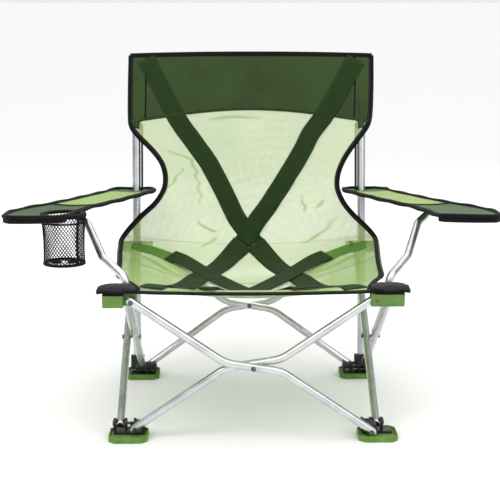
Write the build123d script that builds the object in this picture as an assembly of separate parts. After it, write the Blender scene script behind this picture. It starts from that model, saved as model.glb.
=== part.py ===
"""Folding camp chair: a quad-fold scissor frame carrying a sling seat, two armrests and a cup net.

Millimetres. +X is the sitter's left, seen from the front as right. The front faces -Y and +Z is up.
Every scissor tube has the same length between its pins, so the frame folds flat as one linkage.
"""
import os
from math import atan2, cos, degrees, hypot, radians, sin, sqrt

from build123d import *

# Scissor linkage
leg_length = 538.6          # pin to pin, all eight scissor tubes
pivot_from_foot = 244.8     # side rivet, measured along a leg from its foot pin
leg_angle = 30.1            # side legs above the floor when the chair stands open
cross_bend = 54.0           # half the flatter middle stretch of a front or rear cross tube
cross_bend_drop = 9.0       # height of each bend off the straight line between the pins
cross_bend_radius = 70.0

# Tubes, outer radius and wall
tube_radius = 8.0
tube_wall = 1.2
end_trim = 1.0              # extra length trimmed off when a tube's end is rounded
sleeve_radius = 9.5
sleeve_wall = 1.4
post_radius = 9.5
post_wall = 1.5
post_top = 722.0

# Clearances and fasteners
side_clearance = 0.4        # between pieces that turn past each other
running_clearance = 0.05    # radial, pins in their bores
soft_clearance = 0.3        # between fabric and what it touches
pin_radius = 3.0
head_radius = 5.0
head_height = 2.0

# Feet
foot_height = 26.0          # foot pin above the floor
pad_width = 76.0
pad_outer = 52.0            # pad reach away from the chair's middle, from the foot pin
pad_inner = 22.0
pad_thickness = 7.0
pad_rim = 2.5
pad_corner = 12.0
plate_width = 58.0
plate_top = 12.0
cheek_thickness = 5.0
cheek_radius = 10.0
cheek_relief = 2.8          # cheeks are narrower below the pin, where the yoke swings
barrel_radius = 7.0
barrel_width = 11.2
web_start = 10.4            # yoke and hub webs begin this far out from the pin line
web_thickness = 3.8
block_half_height = 8.0

# Hubs
hub_half_height = 12.0
hub_slot = 11.2             # travel of a leg's pin in its hub while the frame folds
hub_slot_dip = 0.7          # height the pin loses on the way
hub_cheek_shift = 6.5       # cheeks reach further towards the chair's middle, round the slot
hub_cheek = 5.4
hub_wall = 9.0
hub_outer_x = 33.0          # hub's outer face, measured out from the side plane
hub_inner_x = 10.0          # hub's inner end, measured in from the cross pin
collar_radius = 13.5

# Side planes and posts, measured out from the cross pins
side_plane_out = 21.0
post_out = 26.0
post_offset = 24.0          # posts stand this far behind the rear pin line

# Arm supports
sleeve_start = 34.0         # along the leg from the side rivet
sleeve_stop = 31.0          # short of the hub pin
knuckle_length = 18.0
knuckle_height = 24.0
arm_rise = 27.0
arm_tilt = 2.0              # outward lean of the arm tube as it leaves the knuckle
arm_bend_radius = 30.0
arm_reach = 110.0           # outward travel of the arm tube
arm_top_y = -45.0

# Armrests and cup net
armrest_level = 431.0       # armrest middle surface above the chair's centre
armrest_slope = 0.03        # rise towards the front
armrest_thickness = 8.0
cup_x = 372.0
cup_y = -152.0
cup_radius = 45.0
cup_wall = 2.0
cup_bottom = 338.0
cup_opening = 39.0

# Sling
sling_thickness = 4.0
back_bottom = 36.0          # above the rear hubs' pin line, along the posts
back_waist_half = 202.0
back_waist_height = 452.0
seat_front_rise = 4.0       # seat levels, measured from the hubs' pin line
seat_low_drop = 34.0
seat_rear_drop = 3.0
seat_low_y = 110.0
seat_rear_reach = 11.0      # behind the rear hubs' pin line

# Worked out from the above
rise = leg_length * sin(radians(leg_angle))
foot_y = pivot_from_foot * cos(radians(leg_angle))
hub_y = (leg_length - pivot_from_foot) * cos(radians(leg_angle))
lean = atan2(hub_y - foot_y, rise)
plane_length = hypot(rise, hub_y - foot_y)
cross_x = sqrt(leg_length**2 - plane_length**2) / 2
side_x = cross_x + side_plane_out
post_x = cross_x + post_out
leg_shift = (tube_radius + sleeve_radius + side_clearance) / 2
inner_layer = web_start + web_thickness + soft_clearance + tube_radius
outer_layer = inner_layer + 2 * tube_radius + 0.6
pad_x = cross_x + 13.0
barrel_inner_x = cross_x - 13.0
hub_level = foot_height + rise
seat_front_level = hub_level + seat_front_rise
seat_low_level = hub_level - seat_low_drop
seat_rear_level = hub_level - seat_rear_drop

leaning = Plane(origin=(0, -foot_y, foot_height), x_dir=(1, 0, 0), z_dir=(0, -sin(lean), cos(lean)))

NODES = {}


def rod(start, end, radius):
    """Solid round bar from start to end."""
    axis = Vector(*end) - Vector(*start)
    return Solid.make_cylinder(radius, axis.length, Plane(origin=start, z_dir=axis))


def block(x_range, y_range, z_range):
    """Box between two corners, with each range in either order."""
    spans = [sorted(pair) for pair in (x_range, y_range, z_range)]
    size = [high - low for low, high in spans]
    middle = [(high + low) / 2 for low, high in spans]
    return Pos(*middle) * Box(*size)


def along(point, direction, distance):
    """Point at a distance from another along a unit direction."""
    return tuple(p + d * distance for p, d in zip(point, direction))


def rounded_end(tube, pin, outward, axis):
    """Cut a tube's end to a half round about its pin."""
    corner = rod(along(pin, outward, 0.01), along(pin, outward, 3 * tube_radius), 2 * tube_radius)
    keep = rod(along(pin, axis, -4 * tube_radius), along(pin, axis, 4 * tube_radius), tube_radius)
    return tube - (corner - keep)


def bored(part, point, axis, radius, reach=60.0):
    """Drill a hole through a part, both ways from a point."""
    return part - rod(along(point, axis, -reach), along(point, axis, reach), radius)


def front(part):
    """Place a piece that is drawn upright at the foot pins into the leaning front plane."""
    return leaning.location * part


def turned(part):
    """Turn a front piece half way round the chair's upright axis: its rear counterpart."""
    return Rot(0, 0, 180) * part


def add(name, *parts):
    """Keep the solids of one named piece."""
    solids = [solid for part in parts for solid in part.solids()]
    NODES.setdefault(name, []).extend(solids)


def pin(start, end):
    """Rivet with a low head on each end."""
    axis = (Vector(*end) - Vector(*start)).normalized()
    direction = (axis.X, axis.Y, axis.Z)
    shank = rod(start, end, pin_radius)
    first = rod(along(start, direction, -head_height), start, head_radius)
    last = rod(end, along(end, direction, head_height), head_radius)
    return shank + first + last


# Side legs ---------------------------------------------------------------------------------------

side_axis = (1, 0, 0)
leg_up = (0, cos(radians(leg_angle)), sin(radians(leg_angle)))
pivot_point = (0, 0, foot_height + pivot_from_foot * sin(radians(leg_angle)))


def side_leg(x):
    """Straight tube from a front foot up to the rear hub, bored for its three pins."""
    foot_pin = (x, -foot_y, foot_height)
    hub_pin = (x, hub_y, foot_height + rise)
    start = along(foot_pin, leg_up, -tube_radius - end_trim)
    end = along(hub_pin, leg_up, tube_radius + end_trim)
    tube = rod(start, end, tube_radius) - rod(start, end, tube_radius - tube_wall)
    tube = rounded_end(tube, foot_pin, tuple(-v for v in leg_up), side_axis)
    tube = rounded_end(tube, hub_pin, leg_up, side_axis)
    for point in (foot_pin, (x, 0, pivot_point[2])):
        tube = bored(tube, point, side_axis, pin_radius + running_clearance)
    return bored(tube, hub_pin, side_axis, pin_radius)


def side_frame(side, name):
    """Both legs of one side, their rivet, the sleeve, the knuckle and the arm tube."""
    front_x = side * side_x - leg_shift
    rear_x = side * side_x + leg_shift
    add(f"front_{name}_leg", side_leg(front_x))
    rear_leg = turned(side_leg(-rear_x))
    add(f"rear_{name}_leg", rear_leg)
    rivet_start = (front_x - tube_radius - side_clearance, 0, pivot_point[2])
    rivet_end = (rear_x + tube_radius + side_clearance, 0, pivot_point[2])
    add(f"rear_{name}_leg_rivets", pin(rivet_start, rivet_end), leg_pin(side))
    add(f"front_{name}_leg_pin", turned(leg_pin(-side)))
    down = (0, leg_up[1], -leg_up[2])
    across = (0, leg_up[2], leg_up[1])
    hub_pin = (rear_x, -hub_y, foot_height + rise)
    sleeve_low = along(hub_pin, down, leg_length - pivot_from_foot - sleeve_start)
    sleeve_high = along(hub_pin, down, sleeve_stop)
    sleeve = rod(sleeve_low, sleeve_high, sleeve_radius) - rod(
        sleeve_low, sleeve_high, sleeve_radius - sleeve_wall
    )
    add(f"{name}_leg_sleeve", sleeve)
    arm_base = along(along(hub_pin, down, sleeve_stop - knuckle_length / 2), across, tube_radius + 4.0)
    add(f"{name}_arm_tube", arm_tube(arm_base, side))
    add(f"{name}_arm_knuckle", arm_knuckle(hub_pin, down, across, arm_base, side))


def arm_path(base, side):
    """Middle line of the arm tube: up out of the hub, outward, then up to the armrest."""
    x, y, z = base
    top_z = armrest_level - armrest_slope * arm_top_y - armrest_thickness / 2 - tube_radius - 1.5
    climb = top_z - z
    travel = arm_top_y - y
    shift = side * (arm_reach + side * (side * side_x - x))
    return FilletPolyline(
        (x, y, z),
        (x + side * arm_tilt, y, z + arm_rise),
        (x + shift * 0.42, y + travel * 0.26, z + climb * 0.48),
        (x + shift * 0.74, y + travel * 0.80, z + climb * 0.88),
        (x + shift, arm_top_y, top_z),
        radius=[arm_bend_radius - 9, arm_bend_radius, arm_bend_radius],
    )


def arm_tube(base, side):
    """Bent tube that carries the front of an armrest."""
    path = arm_path(base, side)
    section = Plane(origin=path @ 0, z_dir=path % 0)
    ring = Circle(tube_radius) - Circle(tube_radius - tube_wall)
    return sweep(section * ring, path=path, transition=Transition.ROUND)


def arm_knuckle(hub_pin, down, across, arm_base, side):
    """Moulded clamp that ties the arm tube to the top of the rear leg."""
    half = leg_shift + 0.35
    middle = along(hub_pin, down, sleeve_stop - knuckle_length / 2)
    place = Plane(origin=middle, x_dir=(1, 0, 0), z_dir=across)
    body = Pos(0, 0, knuckle_height / 2 - 6) * Box(2 * half, knuckle_length - 1, knuckle_height)
    body = fillet(body.edges().filter_by(Axis.Z), 2.5)
    clamp = place.location * body
    clamp = clamp - rod(along(hub_pin, down, -20), along(hub_pin, down, 60), tube_radius)
    x, y, z = arm_base
    return clamp - rod(arm_base, (x + side * arm_tilt, y, z + arm_rise), tube_radius)


# Cross tubes -------------------------------------------------------------------------------------


def cross_tube(layer, direction):
    """Cross tube with a flatter middle. Direction 1 falls from the left hub to the right foot."""
    hub_end = (-direction * cross_x, -layer, plane_length)
    foot_end = (direction * cross_x, -layer, 0)
    middle = plane_length / 2
    upper = (-direction * cross_bend, -layer, middle + cross_bend_drop)
    lower = (direction * cross_bend, -layer, middle - cross_bend_drop)
    out_high = (Vector(*hub_end) - Vector(*upper)).normalized()
    out_low = (Vector(*foot_end) - Vector(*lower)).normalized()
    outward_high = (out_high.X, out_high.Y, out_high.Z)
    outward_low = (out_low.X, out_low.Y, out_low.Z)
    path = FilletPolyline(
        along(hub_end, outward_high, tube_radius + end_trim),
        upper,
        lower,
        along(foot_end, outward_low, tube_radius + end_trim),
        radius=cross_bend_radius,
    )
    ring = Circle(tube_radius) - Circle(tube_radius - tube_wall)
    tube = sweep(Plane(origin=path @ 0, z_dir=path % 0) * ring, path=path)
    tube = rounded_end(tube, hub_end, outward_high, (0, 1, 0))
    tube = rounded_end(tube, foot_end, outward_low, (0, 1, 0))
    for point in (hub_end, foot_end, (0, -layer, middle)):
        tube = bored(tube, point, (0, 1, 0), pin_radius + running_clearance, reach=2 * tube_radius)
    return front(tube)


def cross_rivet():
    """Rivet through the middle of both cross tubes of one end."""
    low = inner_layer - tube_radius - side_clearance / 2
    high = outer_layer + tube_radius + side_clearance / 2
    return front(pin((0, -low, plane_length / 2), (0, -high, plane_length / 2)))


def cross_frames():
    """Front and rear pairs. The outermost tube of each pair runs from its own left hub."""
    add("front_cross_outer", cross_tube(outer_layer, 1))
    add("front_cross_inner", cross_tube(inner_layer, -1))
    add("front_cross_rivet", cross_rivet())
    add("rear_cross_outer", turned(cross_tube(outer_layer, 1)))
    add("rear_cross_inner", turned(cross_tube(inner_layer, -1)))
    add("rear_cross_rivet", turned(cross_rivet()))


# Feet and yokes ----------------------------------------------------------------------------------


def foot_pad(side):
    """Rubber pad with cut corners and a raised rim."""
    middle_y = -foot_y - (pad_outer - pad_inner) / 2
    outline = Rectangle(pad_width, pad_outer + pad_inner)
    outline = chamfer(outline.vertices(), pad_corner)
    base = extrude(outline, pad_thickness)
    inside = offset(outline, amount=-pad_rim, kind=Kind.INTERSECTION)
    rim = extrude(outline - inside, pad_thickness + 2 * pad_rim)
    pad = base + rim
    return Pos(side * pad_x, middle_y, 0) * pad


def foot_cheek(x_range):
    """Upright lug with a round top about the foot pin."""
    low, high = sorted(x_range)
    back = cheek_radius - cheek_relief
    upright = block((low, high), (-back, back), (plate_top - foot_height, 0))
    return upright + rod((low, 0, 0), (high, 0, 0), cheek_radius)


def foot_body(side, leg_x):
    """Moulded clevis that holds the side leg and the yoke's barrel."""
    reach = tube_radius + side_clearance
    plate_middle = side * pad_x
    body = block(
        (plate_middle - plate_width / 2, plate_middle + plate_width / 2),
        (-cheek_radius - 8, cheek_radius + 4),
        (pad_thickness - foot_height, plate_top - foot_height),
    )
    for direction in (-1, 1):
        edge = leg_x + direction * reach
        body = body + foot_cheek((edge, edge + direction * cheek_thickness))
    barrel_near = side * (barrel_inner_x - side_clearance)
    barrel_far = side * (barrel_inner_x + barrel_width + side_clearance)
    body = body + foot_cheek((barrel_near, barrel_near - side * cheek_thickness))
    body = body + foot_cheek((barrel_far, barrel_far + side * cheek_thickness))
    body = bored(body, (0, 0, 0), side_axis, pin_radius, reach=2 * side_x)
    return Pos(0, -foot_y, foot_height) * body


def foot_shaft(side, leg_x):
    """Pin through the foot's cheeks, the leg and the barrel."""
    inner = side * (barrel_inner_x - side_clearance - cheek_thickness)
    outer = leg_x + side * (tube_radius + side_clearance + cheek_thickness)
    return Pos(0, -foot_y, foot_height) * pin((inner, 0, 0), (outer, 0, 0))


def yoke(side, layer):
    """Swinging yoke: a barrel on the foot's shaft and a block that faces the cross tube."""
    low, high = side * barrel_inner_x, side * (barrel_inner_x + barrel_width)
    face = layer - tube_radius - soft_clearance
    barrel = rod((low, 0, 0), (high, 0, 0), barrel_radius)
    barrel = barrel + block((low, high), (-web_start - 1, 0), (-barrel_radius + 1, barrel_radius - 1))
    barrel = bored(barrel, (0, 0, 0), side_axis, pin_radius + running_clearance, reach=2 * side_x)
    plate = block(
        (side * (cross_x - 10), side * (cross_x + 10)),
        (-face, -web_start),
        (-block_half_height, block_half_height),
    )
    plate = bored(plate, (side * cross_x, -face, 0), (0, 1, 0), pin_radius, reach=face - web_start - 1)
    return barrel + plate


def cross_pin(side, layer, height):
    """Pin that holds one end of a cross tube to its yoke or hub."""
    root = web_start + 1.0
    tip = layer + tube_radius + side_clearance
    shank = rod((side * cross_x, -root, height), (side * cross_x, -tip, height), pin_radius)
    cap = rod(
        (side * cross_x, -tip, height), (side * cross_x, -tip - head_height, height), head_radius
    )
    return front(shank + cap)


def feet():
    """Front feet, and the rear feet as the front ones turned round."""
    for side, name, turned_name, layer in (
        (1, "right", "left", outer_layer),
        (-1, "left", "right", inner_layer),
    ):
        leg_x = side * side_x - leg_shift
        pieces = {
            "pad": foot_pad(side),
            "foot": foot_body(side, leg_x),
            "foot_shaft": foot_shaft(side, leg_x),
        }
        for piece, part in pieces.items():
            add(f"front_{name}_{piece}", part)
            add(f"rear_{turned_name}_{piece}", turned(part))
        add(f"front_{name}_yoke", front(yoke(side, layer)))
        add(f"front_{name}_yoke_pin", cross_pin(side, layer, 0))
        add(f"rear_{turned_name}_post_socket", turned(front(post_socket(side, layer))))
        add(f"rear_{turned_name}_socket_pin", turned(cross_pin(side, layer, 0)))


# Posts -------------------------------------------------------------------------------------------


def post_socket(side, layer):
    """Rear yoke that also takes the lower end of a back post."""
    far = side * (post_x + collar_radius)
    near = side * (cross_x + 9)
    depth = post_offset + collar_radius - 0.5
    holder = block((near, far), (-depth, -web_start), (-block_half_height, 24))
    holder = holder - rod((side * post_x, -post_offset, -4), (side * post_x, -post_offset, 40), post_radius)
    step = inner_layer - tube_radius - soft_clearance
    swing_room = block((near, side * (cross_x + 10.5)), (-depth - 1, -step), (-20, 40))
    return yoke(side, layer) + (holder - swing_room)


def posts():
    """Straight back posts with closed moulded caps."""
    length = (post_top - foot_height + post_offset * sin(lean)) / cos(lean)
    for side, name in ((1, "left"), (-1, "right")):
        low = (side * post_x, -post_offset, -4)
        high = (side * post_x, -post_offset, length)
        tube = rod(low, high, post_radius) - rod(low, high, post_radius - post_wall)
        add(f"rear_{name}_post", turned(front(tube)))
        plug = rod((high[0], high[1], length - 14), high, post_radius - post_wall)
        cap = rod(high, (high[0], high[1], length + 3), post_radius)
        add(f"rear_{name}_post_cap", turned(front(plug + cap)))


# Hubs --------------------------------------------------------------------------------------------


def hub_cheeks(side, leg_x):
    """Two lugs around the end of a side leg, with the web that joins them."""
    reach = sleeve_radius + side_clearance
    inner = leg_x - side * reach
    outer = leg_x + side * reach
    limits = (-hub_half_height, hub_half_height)
    edge = side * (side_x + hub_outer_x)
    depth = (-web_start - 1, hub_cheek_shift)
    lugs = []
    for near, far in ((inner, inner - side * hub_cheek), (outer, edge)):
        lug = block((near, far), depth, limits)
        lugs.append(lug + rod((near, hub_cheek_shift, 0), (far, hub_cheek_shift, 0), hub_half_height))
    return lugs[0] + lugs[1]


def hub_pin_slot(leg_x):
    """Slot for the leg's pin, which drifts towards the chair's middle and back as the frame folds."""
    bore = pin_radius + running_clearance
    drop = hub_slot_dip / 2
    low, high = leg_x - 2 * side_plane_out, leg_x + 2 * side_plane_out
    slot = block((low, high), (0, hub_slot), (-bore - hub_slot_dip, bore))
    slot = slot + rod((low, hub_slot, -drop), (high, hub_slot, -drop), bore + drop)
    return slot + rod((low, 0, 0), (high, 0, 0), bore)


def hub(side, layer, leg_x, post_bore):
    """Moulded hub: leg lugs, a web, and either a pocket or a face for the cross tube's end."""
    height = (-hub_half_height, hub_half_height)
    edge = side * (side_x + hub_outer_x)
    inner_end = side * (cross_x - hub_inner_x)
    block_start = side * (cross_x + tube_radius + 1.0)
    pocket_face = inner_layer + tube_radius + 0.5
    body = hub_cheeks(side, leg_x)
    if layer == inner_layer:
        body = body + block((inner_end, edge), (-web_start - web_thickness, -web_start), height)
        body = body + block((block_start, edge), (-pocket_face - hub_wall, -web_start), height)
        body = body + block((inner_end, edge), (-pocket_face - hub_wall, -pocket_face), height)
    else:
        face = outer_layer - tube_radius - soft_clearance
        lump = block_start + side * 5.0
        body = body + block((inner_end, edge), (-face, -web_start), height)
        body = body + block((lump, edge), (-face - 13, -face + 1), height)
    outside = body.edges().filter_by(Axis.Z).group_by(Axis.Y)[0]
    body = chamfer(outside, 2.5)
    body = bored(body, (side * cross_x, -web_start, 0), (0, 1, 0), pin_radius, reach=80)
    body = body - hub_pin_slot(leg_x)
    if post_bore:
        point = (side * post_x, -post_offset, 0)
        body = bored(body, point, (0, 0, 1), post_radius + running_clearance + 0.03)
    return front(Pos(0, 0, plane_length) * body)


def leg_pin(side):
    """Pin fixed in the top of a leg, with its heads outside the hub's cheeks."""
    leg_x = side * side_x + leg_shift
    inner = leg_x - side * (sleeve_radius + 1.5 * side_clearance + hub_cheek)
    outer = side * (side_x + hub_outer_x + side_clearance / 2)
    return front(pin((inner, 0, plane_length), (outer, 0, plane_length)))


def hub_cross_pin(side, layer):
    """Pin that holds the end of a cross tube in its hub."""
    if layer == outer_layer:
        return cross_pin(side, layer, plane_length)
    tip = inner_layer + tube_radius + 0.5 + hub_wall - 1.5
    shank = rod(
        (side * cross_x, -web_start - 0.5, plane_length),
        (side * cross_x, -tip, plane_length),
        pin_radius,
    )
    return front(shank)


def hubs():
    """Front hubs, and rear hubs that slide on the posts."""
    for side, name, turned_name, layer in (
        (1, "right", "left", inner_layer),
        (-1, "left", "right", outer_layer),
    ):
        leg_x = side * side_x + leg_shift
        add(f"front_{name}_hub", hub(side, layer, leg_x, False))
        add(f"front_{name}_hub_pin", hub_cross_pin(side, layer))
        add(f"rear_{turned_name}_hub", turned(hub(side, layer, leg_x, True)))
        add(f"rear_{turned_name}_hub_pin", turned(hub_cross_pin(side, layer)))


# Soft parts --------------------------------------------------------------------------------------


def armrest_outline(side):
    """Plan of an armrest: narrow round the post, wide over the arm tube."""
    points = [
        (cross_x - 18, 262),
        (cross_x + 27, 138),
        (cross_x + 57, 55),
        (cross_x + 106, -61),
        (cross_x + 119, -148),
        (cross_x + 130, -202),
        (cross_x + 234, -222),
        (cross_x + 252, -198),
        (cross_x + 246, -91),
        (cross_x + 168, 52),
        (cross_x + 82, 304),
        (cross_x + 12, 318),
    ]
    plan = Polyline(*[(side * x, y) for x, y in points], close=True)
    return make_face(plan)


def post_at(level):
    """Distance behind the chair's centre of the post's middle line at a level."""
    up = (level - foot_height + post_offset * sin(lean)) / cos(lean)
    return foot_y + post_offset * cos(lean) + up * sin(lean)


def armrest(side):
    """Padded fabric band from the back post over the arm tube."""
    slab = extrude(armrest_outline(side), armrest_thickness / 2, both=True)
    slab = fillet(slab.edges().filter_by(Axis.Z), 7)
    slab = Pos(0, 0, armrest_level) * Rot(-degrees(armrest_slope), 0, 0) * slab
    level = armrest_level - armrest_slope * post_at(armrest_level)
    middle = (side * post_x, post_at(level), level)
    hole = post_radius + soft_clearance
    return bored(slab, middle, (0, sin(lean), cos(lean)), hole, reach=40)


def cup_net():
    """Open net bag that hangs under the left armrest."""
    top = armrest_level - armrest_slope * (cup_y + cup_radius) - armrest_thickness / 2 - soft_clearance
    outer = rod((-cup_x, cup_y, cup_bottom), (-cup_x, cup_y, top), cup_radius)
    inner = rod((-cup_x, cup_y, cup_bottom + cup_wall), (-cup_x, cup_y, top + 1), cup_radius - cup_wall)
    return outer - inner


def back_panel():
    """Sling back between the posts, drawn flat in the posts' own plane."""
    half = post_x - post_radius - soft_clearance
    top = (post_top - foot_height + post_offset * sin(lean)) / cos(lean)
    waist = (back_waist_height - foot_height) / cos(lean)
    low = plane_length + back_bottom
    right_edge = [
        (half, top),
        (half, waist + 118),
        (back_waist_half, waist + 36),
        (back_waist_half, waist - 36),
        (half, waist - 118),
        (half, low),
    ]
    outline = right_edge + [(-x, z) for x, z in reversed(right_edge)]
    middle = -post_offset + sling_thickness / 2
    plane = Plane(origin=(0, middle, 0), x_dir=(1, 0, 0), z_dir=(0, -1, 0))
    panel = extrude(plane * make_face(Polyline(*outline, close=True)), sling_thickness)
    return turned(front(panel))


def seat_half_width():
    """Half width of the seat, which hangs between the hubs' inner ends."""
    return cross_x - hub_inner_x - soft_clearance


def seat_panel(start, end, half):
    """Flat strip of the seat between two heights and depths."""
    (y0, z0), (y1, z1) = start, end
    profile = Polyline(
        (y0, z0), (y1, z1), (y1, z1 + sling_thickness), (y0, z0 + sling_thickness), close=True
    )
    face = Plane(origin=(-half, 0, 0), x_dir=(0, 1, 0), z_dir=(1, 0, 0)) * make_face(profile)
    return extrude(face, 2 * half)


def sling():
    """Back, rear seat and front seat panels of the one sling."""
    half = seat_half_width()
    front_y = -hub_y - outer_layer - 4
    add("back_panel", back_panel())
    level_stretch = -hub_y + 10
    front_part = seat_panel((front_y, seat_front_level), (level_stretch, seat_front_level), half)
    slope = seat_panel((level_stretch, seat_front_level), (seat_low_y, seat_low_level), half)
    add("seat_front", front_part + slope)
    rear_y = hub_y + seat_rear_reach
    add("seat_rear", seat_panel((seat_low_y + soft_clearance, seat_low_level), (rear_y, seat_rear_level), half))


def build():
    """Make every piece, in the scissor's own frame: its middle at X = Y = 0 and the floor at Z = 0."""
    for side, name in ((1, "right"), (-1, "left")):
        side_frame(side, name)
    cross_frames()
    feet()
    posts()
    hubs()
    arm_left = armrest(-1)
    opening = rod((-cup_x, cup_y, cup_bottom), (-cup_x, cup_y, armrest_level + 40), cup_opening)
    add("left_armrest", arm_left - opening)
    add("right_armrest", armrest(1))
    add("cup_net", cup_net())
    sling()


build()

# The origin sits under the middle of the whole chair's box.
whole = Compound([solid for solids in NODES.values() for solid in solids]).bounding_box()
shift = Vector(-(whole.min.X + whole.max.X) / 2, -(whole.min.Y + whole.max.Y) / 2, -whole.min.Z)

if __name__ == "__main__":
    os.makedirs("parts", exist_ok=True)
    for node, solids in NODES.items():
        moved = [solid.moved(Location(shift)) for solid in solids]
        export_step(Compound(moved) if len(moved) > 1 else moved[0], f"parts/{node}.step")
    print(len(NODES), "nodes, size", whole.size, "shift", shift)
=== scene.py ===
"""Looks of the folding camp chair: fabric, bindings, straps, net, boots and finishes, in metres."""
import math

import bmesh
import bpy
import numpy as np
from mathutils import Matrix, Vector


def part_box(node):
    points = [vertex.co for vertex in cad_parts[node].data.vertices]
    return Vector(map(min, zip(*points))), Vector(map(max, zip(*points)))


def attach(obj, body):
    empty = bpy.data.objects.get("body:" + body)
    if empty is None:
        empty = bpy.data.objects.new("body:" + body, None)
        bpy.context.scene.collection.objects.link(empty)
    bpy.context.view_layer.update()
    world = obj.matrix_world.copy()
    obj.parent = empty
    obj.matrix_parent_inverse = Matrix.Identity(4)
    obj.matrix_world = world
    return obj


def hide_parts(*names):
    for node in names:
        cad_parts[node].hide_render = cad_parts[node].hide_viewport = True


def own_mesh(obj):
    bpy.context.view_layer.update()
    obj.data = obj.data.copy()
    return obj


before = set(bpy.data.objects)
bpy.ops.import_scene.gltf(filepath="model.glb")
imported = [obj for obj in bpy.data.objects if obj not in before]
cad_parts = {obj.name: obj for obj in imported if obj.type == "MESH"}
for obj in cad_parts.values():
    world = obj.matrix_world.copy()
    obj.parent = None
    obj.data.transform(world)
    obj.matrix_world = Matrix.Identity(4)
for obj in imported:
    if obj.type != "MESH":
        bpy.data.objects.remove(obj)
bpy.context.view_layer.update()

# ---------------------------------------------------------------- sizes worked out from the frame
RIGHT_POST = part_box("rear_right_post")
POST_RADIUS = (RIGHT_POST[1][0] - RIGHT_POST[0][0]) / 2
POST_X = (RIGHT_POST[0][0] + RIGHT_POST[1][0]) / 2
POST_LOW = Vector((POST_X, RIGHT_POST[0][1] + POST_RADIUS, RIGHT_POST[0][2]))
POST_HIGH = Vector((POST_X, RIGHT_POST[1][1] - POST_RADIUS, RIGHT_POST[1][2]))
POST_SLOPE = (POST_HIGH.y - POST_LOW.y) / (POST_HIGH.z - POST_LOW.z)
SHEET = 0.0012              # thickness of the cloth
BINDING = 0.012             # width of the tape round the sling
STRAP = 0.043               # width of a load strap
SIDES = ((-1, "left"), (1, "right"))


def post_y(z):
    """Depth of the posts' middle line at a height."""
    return POST_LOW.y + (z - POST_LOW.z) * POST_SLOPE


# ---------------------------------------------------------------- materials
def new_material(name, colour, rough, metallic=0.0):
    """Principled material with constants on its own sockets."""
    mat = bpy.data.materials.new(name)
    mat.use_nodes = True
    shader = mat.node_tree.nodes["Principled BSDF"]
    shader.inputs["Base Color"].default_value = (*colour, 1)
    shader.inputs["Roughness"].default_value = rough
    shader.inputs["Metallic"].default_value = metallic
    return mat, mat.node_tree, shader


def node(tree, kind, **values):
    """Add a node and set its named inputs or properties."""
    made = tree.nodes.new(kind)
    for key, value in values.items():
        if key in made.inputs:
            made.inputs[key].default_value = value
        else:
            setattr(made, key, value)
    return made


def object_point(tree, scale=(1, 1, 1), turn=(0, 0, 0)):
    """Object coordinates through a mapping."""
    source = node(tree, "ShaderNodeTexCoord")
    mapping = node(tree, "ShaderNodeMapping", Scale=scale, Rotation=turn)
    tree.links.new(source.outputs["Object"], mapping.inputs["Vector"])
    return mapping.outputs["Vector"]


def ramp(tree, factor, stops):
    """Colour ramp from a factor."""
    made = node(tree, "ShaderNodeValToRGB")
    while len(made.color_ramp.elements) < len(stops):
        made.color_ramp.elements.new(0.5)
    for element, (place, colour) in zip(made.color_ramp.elements, stops):
        element.position = place
        element.color = (*colour, 1) if len(colour) == 3 else colour
    tree.links.new(factor, made.inputs["Fac"])
    return made.outputs["Color"]


def bump(tree, shader, height, strength, distance):
    """Bump from a height."""
    made = node(tree, "ShaderNodeBump", Strength=strength, Distance=distance)
    tree.links.new(height, made.inputs["Height"])
    tree.links.new(made.outputs["Normal"], shader.inputs["Normal"])


def wave(tree, vector, direction, scale):
    """Straight bands across one direction."""
    made = node(tree, "ShaderNodeTexWave", bands_direction=direction, Scale=scale)
    tree.links.new(vector, made.inputs["Vector"])
    return made.outputs["Fac"]


def noise(tree, vector, scale, detail=3.0):
    """Soft noise."""
    made = node(tree, "ShaderNodeTexNoise", Scale=scale, Detail=detail)
    tree.links.new(vector, made.inputs["Vector"])
    return made.outputs["Fac"]


def combine(tree, operation, first, second):
    """Arithmetic on two values or sockets."""
    made = node(tree, "ShaderNodeMath", operation=operation)
    for slot, value in enumerate((first, second)):
        if isinstance(value, (int, float)):
            made.inputs[slot].default_value = value
        else:
            tree.links.new(value, made.inputs[slot])
    return made.outputs[0]


def blend(tree, first, second, share):
    """Two values added, the first with a share of the whole."""
    parts = (combine(tree, "MULTIPLY", first, share), combine(tree, "MULTIPLY", second, 1 - share))
    return combine(tree, "ADD", *parts)


def tinted(tree, shader, factor, dark, light):
    """Base colour that wanders between two tones."""
    tree.links.new(ramp(tree, factor, [(0.3, dark), (0.7, light)]), shader.inputs["Base Color"])


def aluminium():
    """Bright anodised tube with fine drawing lines and faint handling marks."""
    mat, tree, shader = new_material("anodised_aluminium", (0.62, 0.63, 0.65), 0.30, 1.0)
    fine = noise(tree, object_point(tree, (900, 900, 30)), 1.0)
    marks = noise(tree, object_point(tree), 22.0, 6.0)
    tinted(tree, shader, marks, (0.52, 0.53, 0.55), (0.70, 0.71, 0.73))
    rough = ramp(tree, marks, [(0.3, (0.22,) * 3), (0.75, (0.38,) * 3)])
    tree.links.new(rough, shader.inputs["Roughness"])
    bump(tree, shader, fine, 0.12, 0.0003)
    return mat


def moulded(name, dark, light, rough):
    """Moulded plastic with a fine spark-eroded grain and slight scuffing."""
    mat, tree, shader = new_material(name, light, rough)
    point = object_point(tree)
    grain = noise(tree, point, 900.0, 2.0)
    scuff = noise(tree, point, 45.0, 6.0)
    tinted(tree, shader, scuff, dark, light)
    spread = ramp(tree, scuff, [(0.35, (rough,) * 3), (0.8, (min(1, rough + 0.2),) * 3)])
    tree.links.new(spread, shader.inputs["Roughness"])
    bump(tree, shader, grain, 0.25, 0.0004)
    return mat


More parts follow.
